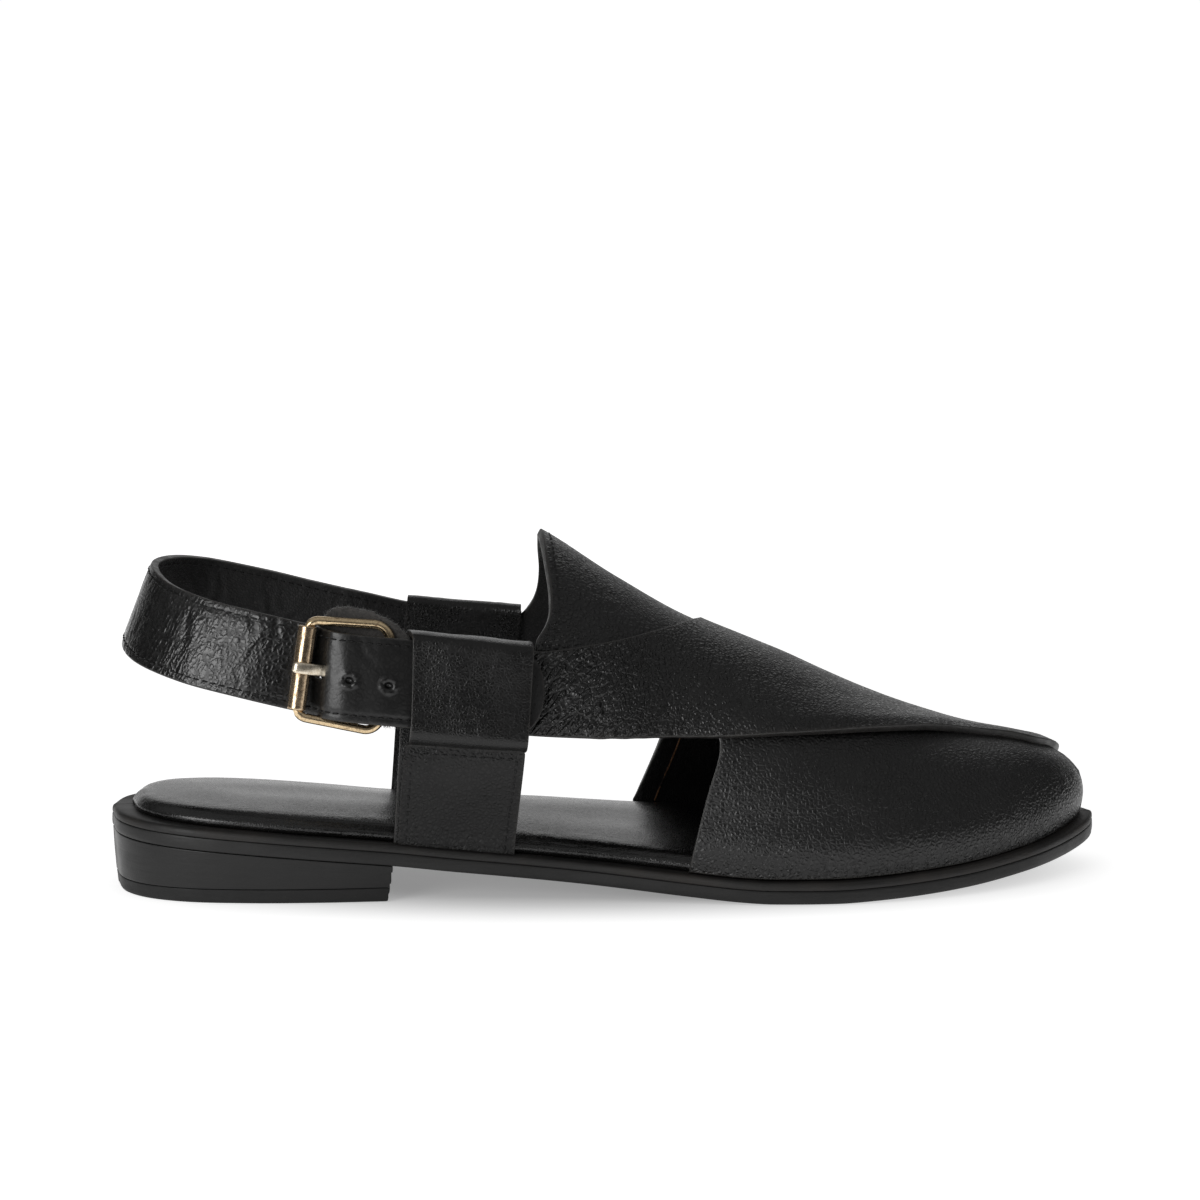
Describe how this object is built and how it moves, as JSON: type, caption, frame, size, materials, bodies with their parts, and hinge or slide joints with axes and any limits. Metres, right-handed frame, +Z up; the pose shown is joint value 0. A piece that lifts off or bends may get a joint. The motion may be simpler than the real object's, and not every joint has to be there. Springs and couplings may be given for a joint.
{
  "type": "peshawari chappal",
  "caption": "Leather sandal with two wide vamp panels that cross at the instep, side loops, a buckled strap round the heel and a low stacked heel.",
  "frame": {"origin": "on the floor under the middle of the shoe's length and width", "axes": "+X towards the toe, +Y towards the inner (medial) side of the foot, +Z up"},
  "size_m": [0.2934, 0.0966, 0.1031],
  "materials": {
    "sole_leather": "black edge-dressed leather, satin",
    "ledge_leather": "dark brown-black leather, matt",
    "heel_stack": "black waxed heel stack, satin",
    "heel_rubber": "black rubber, matt",
    "footbed_leather": "smooth black leather over padding",
    "upper_leather": "black pebbled full grain leather, soft gloss",
    "strap_leather": "black smooth and creased leather, soft gloss",
    "buckle_metal": "worn antique nickel and brass"
  },
  "bodies": {
    "root": {"outsole": "sole_leather", "midsole": "ledge_leather", "heel_block": "heel_stack", "top_piece": "heel_rubber", "insole": "footbed_leather", "upper": "upper_leather", "keeper_loop_lateral": "strap_leather", "keeper_loop_medial": "strap_leather", "back_strap": "strap_leather", "buckle_frame": "buckle_metal", "buckle_roller": "buckle_metal", "buckle_prong": "buckle_metal"}
  },
  "joints": []
}
